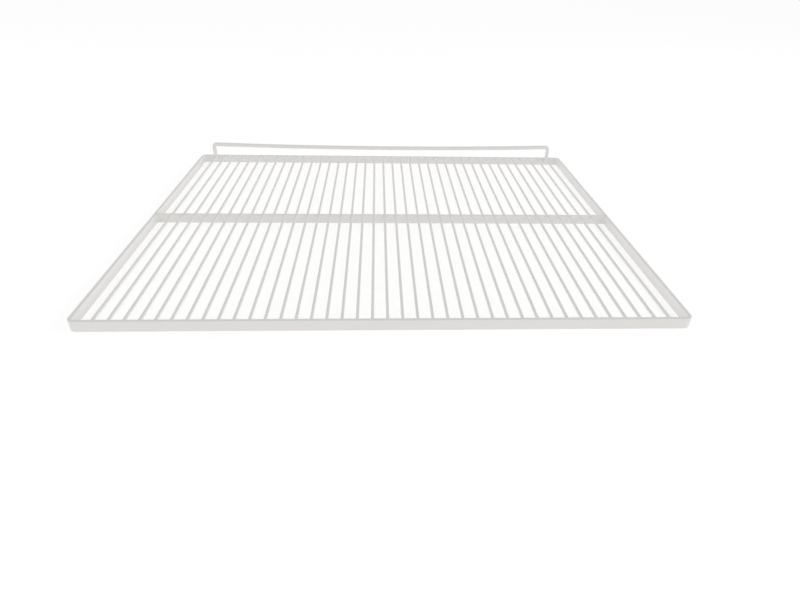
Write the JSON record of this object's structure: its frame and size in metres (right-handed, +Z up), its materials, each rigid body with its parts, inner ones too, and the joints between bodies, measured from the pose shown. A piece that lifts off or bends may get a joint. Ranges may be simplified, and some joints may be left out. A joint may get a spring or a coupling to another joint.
{
  "type": "wire rack",
  "caption": "Flat rectangular refrigerator rack of straight coated wires in a flat-strip frame, with a notched cross bar and a low raised stop wire along the back edge.",
  "frame": {"origin": "centre of the underside, level with the lower edges of the frame's strips", "axes": "+X to the right, +Y to the back edge where the stop wire stands, +Z up"},
  "size_m": [0.65, 0.53, 0.037],
  "materials": {
    "white_coating": "semi-gloss off-white plastic coating on steel wire and strip"
  },
  "bodies": {
    "root": {"frame": "white_coating", "cross_bar": "white_coating", "back_stop": "white_coating", "wire_01": "white_coating", "wire_02": "white_coating", "wire_03": "white_coating", "wire_04": "white_coating", "wire_05": "white_coating", "wire_06": "white_coating", "wire_07": "white_coating", "wire_08": "white_coating", "wire_09": "white_coating", "wire_10": "white_coating", "wire_11": "white_coating", "wire_12": "white_coating", "wire_13": "white_coating", "wire_14": "white_coating", "wire_15": "white_coating", "wire_16": "white_coating", "wire_17": "white_coating", "wire_18": "white_coating", "wire_19": "white_coating", "wire_20": "white_coating", "wire_21": "white_coating", "wire_22": "white_coating", "wire_23": "white_coating", "wire_24": "white_coating", "wire_25": "white_coating", "wire_26": "white_coating", "wire_27": "white_coating", "wire_28": "white_coating", "wire_29": "white_coating", "wire_30": "white_coating", "wire_31": "white_coating", "wire_32": "white_coating", "wire_33": "white_coating", "wire_34": "white_coating", "wire_35": "white_coating", "wire_36": "white_coating", "wire_37": "white_coating", "wire_38": "white_coating", "wire_39": "white_coating"}
  },
  "joints": []
}
